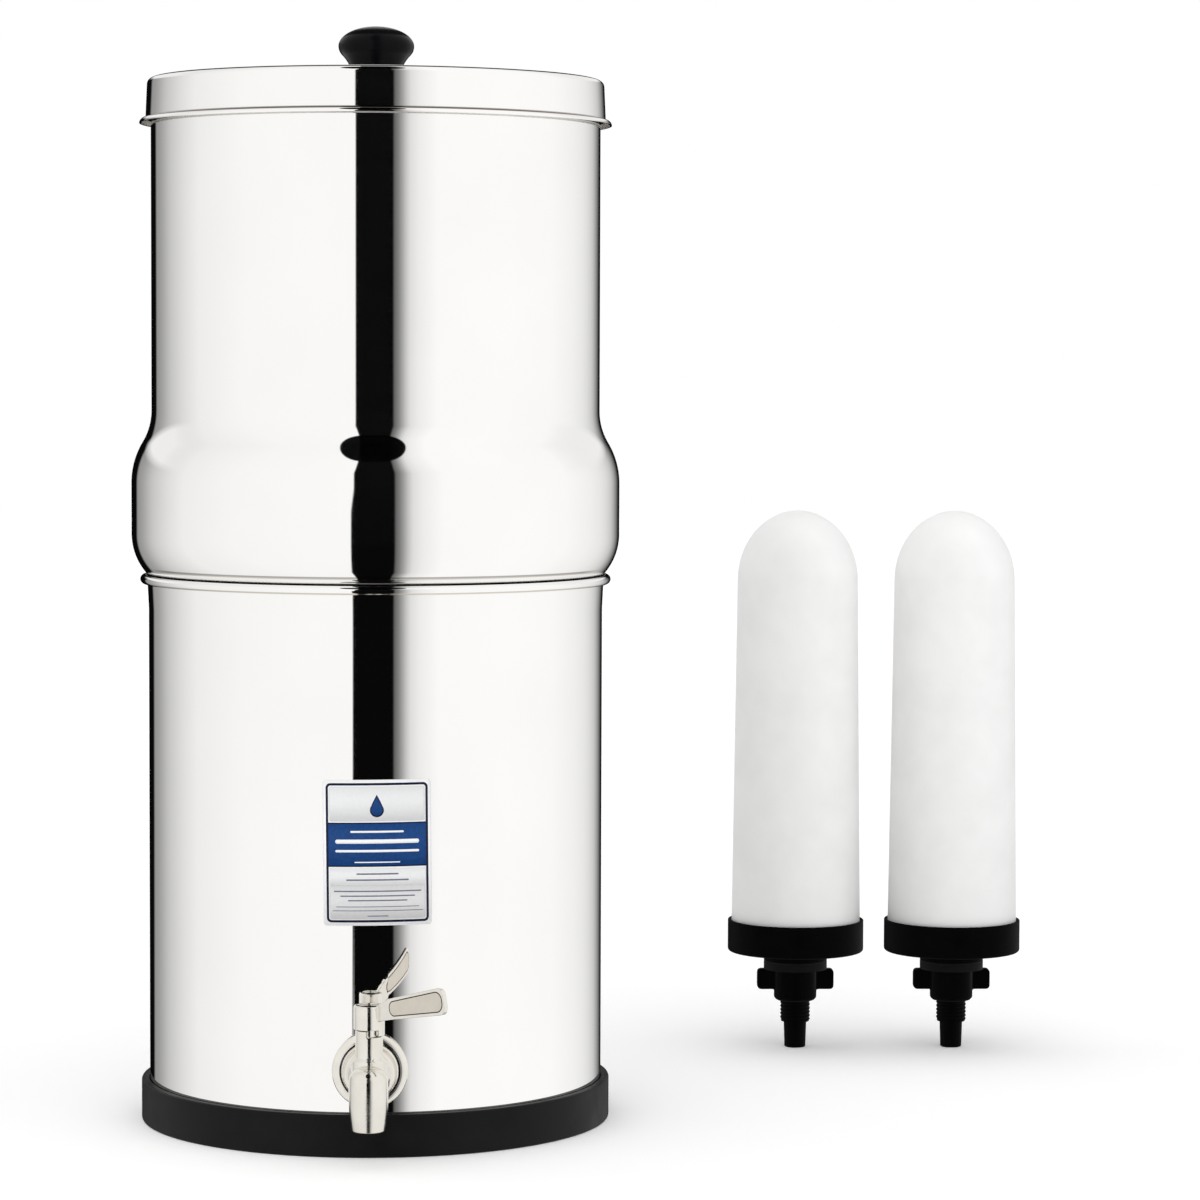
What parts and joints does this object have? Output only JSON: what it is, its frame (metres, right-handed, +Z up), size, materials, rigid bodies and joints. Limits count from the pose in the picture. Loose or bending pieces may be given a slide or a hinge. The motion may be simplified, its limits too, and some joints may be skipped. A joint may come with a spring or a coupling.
{
  "type": "gravity water filter with tap",
  "caption": "Gravity water filter: two stacked steel chambers on a base ring, lid with knob, quarter-turn tap, two filter candles inside and two standing beside it.",
  "frame": {"origin": "Centre of the underside of the base ring, where the vessel's axis meets the counter.", "axes": "+Z up along the vessel's axis; the tap faces -Y; +X is to the right as seen from the tap's side."},
  "size_m": [0.458, 0.3987, 0.5274],
  "materials": {
    "polished_steel": "mirror-polished stainless sheet",
    "tap_steel": "cast stainless, satin with light casting grain",
    "black_plastic": "moulded, slightly grained black",
    "knob_black": "smooth moulded black",
    "candle_black": "moulded black with soft sheen",
    "rubber": "black silicone rubber",
    "ceramic": "unglazed matte white ceramic",
    "carbon": "pressed carbon block"
  },
  "bodies": {
    "root": {"base_ring": "black_plastic", "lower_chamber": "polished_steel", "tap_body": "tap_steel", "tap_washer": "tap_steel", "outer_gasket": "rubber", "inner_gasket": "rubber", "tap_nut": "tap_steel"},
    "tap_handle": {"tap_lever": "tap_steel", "tap_plug": "tap_steel", "plug_o_rings": "rubber", "lever_screw": "tap_steel"},
    "upper": {"upper_chamber": "polished_steel", "fitted_shell_left": "ceramic", "fitted_core_left": "carbon", "fitted_cap_left": "candle_black", "fitted_seal_left": "rubber", "fitted_nut_left": "candle_black", "fitted_shell_right": "ceramic", "fitted_core_right": "carbon", "fitted_cap_right": "candle_black", "fitted_seal_right": "rubber", "fitted_nut_right": "candle_black"},
    "lid_assembly": {"lid": "polished_steel", "lid_knob": "knob_black", "knob_screw": "polished_steel", "knob_washer": "polished_steel"},
    "spare_candle_near": {"spare_shell_near": "ceramic", "spare_core_near": "carbon", "spare_cap_near": "candle_black", "spare_seal_near": "rubber", "spare_nut_near": "candle_black"},
    "spare_candle_far": {"spare_shell_far": "ceramic", "spare_core_far": "carbon", "spare_cap_far": "candle_black", "spare_seal_far": "rubber", "spare_nut_far": "candle_black"}
  },
  "joints": [
    {"name": "upper_lift", "type": "slide", "parent": "root", "child": "upper", "axis": [0, 0, 1], "range_m": [0, 0.12]},
    {"name": "lid_lift", "type": "slide", "parent": "upper", "child": "lid_assembly", "axis": [0, 0, 1], "range_m": [0, 0.1]},
    {"name": "tap_turn", "type": "hinge", "parent": "root", "child": "tap_handle", "pos_m": [0, -0.128, 0.0622], "axis": [0, 0, 1], "range_deg": [-44, 46]},
    {"name": "spare_near_lift", "type": "slide", "parent": "root", "child": "spare_candle_near", "axis": [0, 0, 1], "range_m": [0, 0.1]},
    {"name": "spare_far_lift", "type": "slide", "parent": "root", "child": "spare_candle_far", "axis": [0, 0, 1], "range_m": [0, 0.1]}
  ]
}
